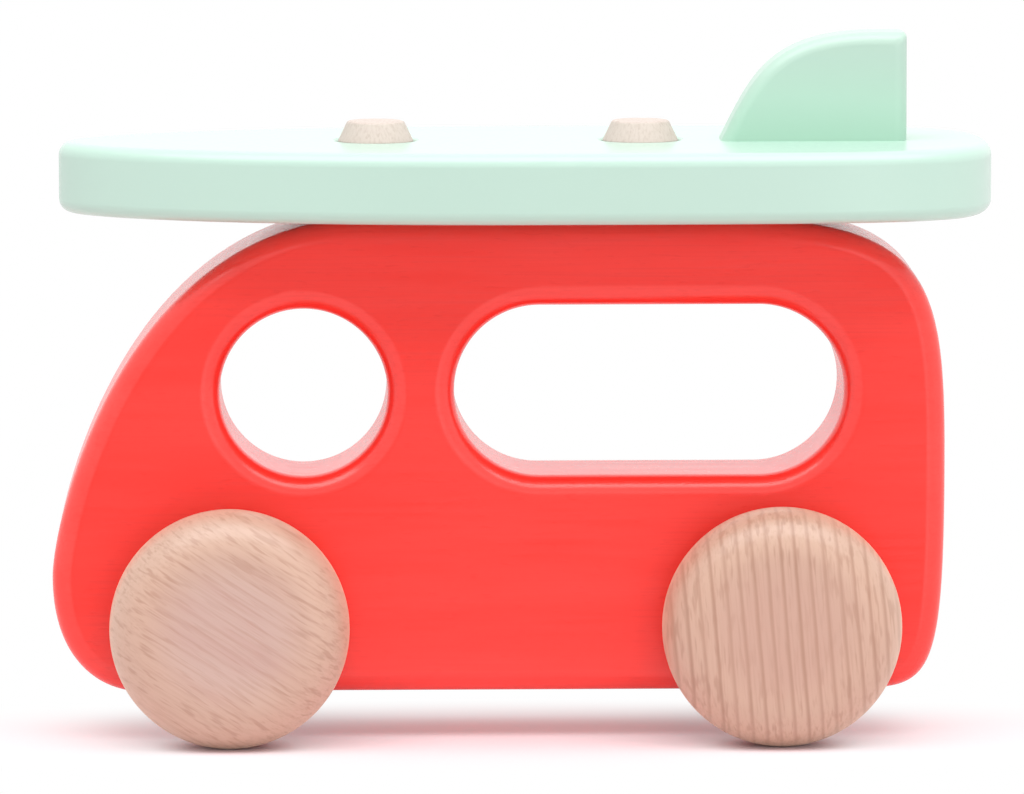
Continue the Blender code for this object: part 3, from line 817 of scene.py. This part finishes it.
# A slanted tip where one is given, otherwise the foot's chamfer at both ends
pegs = {
    "tipRadius": 4.5 * mm, "tipHeight": 3.1 * mm, "softness": 0.6 * mm, "chamfer": 0.8 * mm,
    "segments": 96, "edgeSteps": 8,
    "grainShift": {"front": (0.0, 7 * mm, 3 * mm), "rear": (19 * mm, 7 * mm, 3 * mm)},
}
axles = {
    "softness": 0.2 * mm, "chamfer": 0.8 * mm,
    "segments": 64, "edgeSteps": 4,
    "grainShift": {"front": (5 * mm, 0.0, 31 * mm), "rear": (5 * mm, 23 * mm, 31 * mm)},
}
finDowels = {
    "softness": 0.1 * mm, "chamfer": 0.5 * mm,
    "segments": 48, "edgeSteps": 3,
    "grainShift": {"front": (3 * mm, 9 * mm, 0.0), "rear": (3 * mm, 9 * mm, 13 * mm)},
}


def makeDowel(name, node, end, sizes, lying=False):
    # Stands on its foot, or lies across the van with its foot on the far side
    low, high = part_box(node)
    centre, size = (low + high) / 2, high - low
    radius, chamfer = size.z / 2 if lying else size.x / 2, sizes["chamfer"]
    return turnPiece(name, dowelLathe, {
        "Radius": radius,
        "Length": size.y if lying else size.z,
        "Tip Radius": sizes.get("tipRadius", radius - chamfer),
        "Tip Height": sizes.get("tipHeight", chamfer),
        "Tip Softness": sizes["softness"],
        "Foot Chamfer": chamfer,
        "Segments": sizes["segments"],
        "Edge Steps": sizes["edgeSteps"],
        "Grain Turn": (math.pi / 2, 0.0, 0.0),  # the fibres run along the dowel
        "Grain Shift": sizes["grainShift"][end],
        "Ring Share": 0.0,
        "Grain Squeeze": 1.0,
        "Turn": (math.pi / 2, 0.0, 0.0) if lying else (0.0, 0.0, 0.0),
        "Place": (centre.x, high.y, centre.z) if lying else (centre.x, centre.y, low.z),
        "Finish": birch,
    })


for end in bothEnds:
    peg = makeDowel(f"roofPeg{end.title()}", f"roof_peg_{end}", end, pegs)
    settle(peg, birch, "van", "plain_dowel_wood", f"roof_peg_{end}")
    axle = makeDowel(f"{end}Axle", f"{end}_axle", end, axles, lying=True)
    settle(axle, birch, f"{end}_wheelset", "plain_dowel_wood", f"{end}_axle")
    dowel = makeDowel(f"finDowel{end.title()}", f"fin_dowel_{end}", end, finDowels)
    settle(dowel, birch, "surfboard", "plain_dowel_wood", f"fin_dowel_{end}")
print("pegs, axles and dowels ready")


# Stage: floor, white surroundings, soft lamps and the camera

paperFloor = {
    # the pink of the paper colour is painted red light bounced off the van's body
    "reach": 3.0, "frontEdge": -0.11, "colour": "#f6e6eb",
    "plainWhite": 0.22, "middle": -9 * mm, "fadeFrom": (28 * mm, 8 * mm), "fadeTo": 5.0,
    # how far the dark touch under each wheel reaches, along and across the van, and how it ends
    "contact": (9 * mm, 8 * mm), "contactFade": (0.5, 1.5),
}


def makeFloor(sizes):
    # Real paper under the toy, its pink tint painted red light bounced off the van, melting into plain
    # white further out for the camera and for reflections
    material, tree = emptyMaterial("whitePaperFloor")
    # pink-tinted paper: painted red bounce light from the van
    paper = addNode(tree, "ShaderNodeBsdfDiffuse", {"Color": hexToLinear(sizes["colour"])})
    white = addNode(tree, "ShaderNodeEmission", {"Color": (1.0, 1.0, 1.0, 1.0), "Strength": 1.0})
    place = addNode(tree, "ShaderNodeTexCoord").outputs["Object"]
    alongX, acrossY = sizes["fadeFrom"]
    squared = addNode(tree, "ShaderNodeMapping", {
        "Vector": place,
        "Location": (0.0, -sizes["middle"] / acrossY, 0.0),
        "Scale": (1 / alongX, 1 / acrossY, 1.0),
    })
    away = calcVector(tree, "LENGTH", squared.outputs["Vector"])
    fade = ranged(tree, away, 1.0, sizes["fadeTo"], sizes["plainWhite"], 1.0)
    rays = addNode(tree, "ShaderNodeLightPath").outputs
    seen = calc(tree, "MAXIMUM", rays["Is Camera Ray"], rays["Is Glossy Ray"])
    # folded about the middle of the wheelbase, all four contact spots fall on one
    front, rear = boxCentre("front_wheel_left"), boxCentre("rear_wheel_left")
    centred = calcVector(tree, "SUBTRACT", place, ((front.x + rear.x) / 2, 0.0, 0.0))
    folded = calcVector(tree, "ABSOLUTE", centred)
    fromSpot = calcVector(tree, "SUBTRACT", folded, ((rear.x - front.x) / 2, abs(front.y), 0.0))
    alongX, acrossY = sizes["contact"]
    near = calcVector(tree, "MULTIPLY", fromSpot, (1 / alongX, 1 / acrossY, 1.0))
    lit = ranged(tree, calcVector(tree, "LENGTH", near), *sizes["contactFade"])
    amount = calc(tree, "MULTIPLY", calc(tree, "MULTIPLY", fade, seen), lit)
    mixed = addNode(tree, "ShaderNodeMixShader", {0: amount, 1: paper.outputs[0], 2: white.outputs[0]})
    addNode(tree, "ShaderNodeOutputMaterial", {"Surface": mixed.outputs[0]})
    mesh = bpy.data.meshes.new("paperFloor")
    side, edge = sizes["reach"], sizes["frontEdge"]
    corners = [(-side, edge, 0.0), (side, edge, 0.0), (side, side, 0.0), (-side, side, 0.0)]
    mesh.from_pydata(corners, [], [(0, 1, 2, 3)])
    floor = newObject("paperFloor", mesh)
    floor.data.materials.append(material)


makeFloor(paperFloor)

surroundings = {
    "frontLight": 0.4, "backLight": 0.95, "lightTurn": (0.1, 0.75),
    "mirrored": 1.2, "behindCamera": 0.1, "darkWithin": (0.93, 0.988),
}


def makeSurroundings(sizes):
    # White all round for the eye; reflections also find the darker room behind the camera
    world = bpy.data.worlds.new("whiteStudio")
    scene.world = world
    world.use_nodes = True
    tree = world.node_tree
    tree.nodes.clear()
    rays = addNode(tree, "ShaderNodeLightPath").outputs
    direction = addNode(tree, "ShaderNodeTexCoord").outputs["Generated"]
    toCamera = calcVector(tree, "DOT_PRODUCT", direction, (0.0, -1.0, 0.0))
    mirrored = ranged(tree, toCamera, *sizes["darkWithin"], sizes["mirrored"], sizes["behindCamera"])
    # the lit backdrop behind the toy gives more light than the room in front of it
    light = ranged(tree, toCamera, *sizes["lightTurn"], sizes["backLight"], sizes["frontLight"])
    onGlossy = addNode(tree, "ShaderNodeMix", {
        "Factor": rays["Is Glossy Ray"], "A": light, "B": mirrored,
    }, data_type="FLOAT").outputs["Result"]
    straight = calc(tree, "MAXIMUM", rays["Is Camera Ray"], rays["Is Transmission Ray"])
    strength = addNode(tree, "ShaderNodeMix", {
        "Factor": straight, "A": onGlossy, "B": 1.0,
    }, data_type="FLOAT").outputs["Result"]
    sky = addNode(tree, "ShaderNodeBackground", {"Color": (1.0, 1.0, 1.0, 1.0), "Strength": strength})
    addNode(tree, "ShaderNodeOutputWorld", {"Surface": sky.outputs[0]})


makeSurroundings(surroundings)

lamps = {
    "overhead": {"place": (0.0, -0.3, 0.95), "size": (1.4, 0.7), "power": 8.6, "mirrored": True},
    "front": {"place": (0.25, -1.2, 0.15), "size": (1.0, 1.0), "power": 6.4, "mirrored": False},
}


def makeLamps(softboxes):
    for name, lamp in softboxes.items():
        light = bpy.data.lights.new(name + "Softbox", "AREA")
        light.shape = "RECTANGLE"
        light.size, light.size_y = lamp["size"]
        light.energy = lamp["power"]
        holder = newObject(name + "Softbox", light)
        holder.location = lamp["place"]
        holder.visible_glossy = lamp["mirrored"]
        aim = boxCentre("van_body") - Vector(lamp["place"])
        holder.rotation_euler = aim.to_track_quat("-Z", "Y").to_euler()


makeLamps(lamps)

photoView = {
    "target": (-1.51 * mm, 0.0, 53.39 * mm), "distance": 1400 * mm,
    "turn": math.radians(1.3), "rise": math.radians(6.58), "roll": math.radians(-0.069),
    "focalPixels": 8731.4, "imageWidthPixels": 1024, "sensor": 36.0, "clip": (0.05, 50.0),
}


def makeCamera(view):
    data = bpy.data.cameras.new("photoCamera")
    data.sensor_width = view["sensor"]
    data.lens = view["focalPixels"] / view["imageWidthPixels"] * view["sensor"]
    data.clip_start, data.clip_end = view["clip"]
    camera = newObject("photoCamera", data)
    turn, rise = view["turn"], view["rise"]
    back = Vector((-math.sin(turn) * math.cos(rise), -math.cos(turn) * math.cos(rise), math.sin(rise)))
    right = Vector((0.0, 0.0, 1.0)).cross(back).normalized()
    up = back.cross(right)
    rolledRight = right * math.cos(view["roll"]) + up * math.sin(view["roll"])
    rolledUp = up * math.cos(view["roll"]) - right * math.sin(view["roll"])
    turned = Matrix((rolledRight, rolledUp, back)).transposed()
    eye = Vector(view["target"]) + back * view["distance"]
    camera.matrix_world = Matrix.Translation(eye) @ turned.to_4x4()
    scene.camera = camera


makeCamera(photoView)
scene.view_settings.view_transform = "Standard"
print("stage ready")
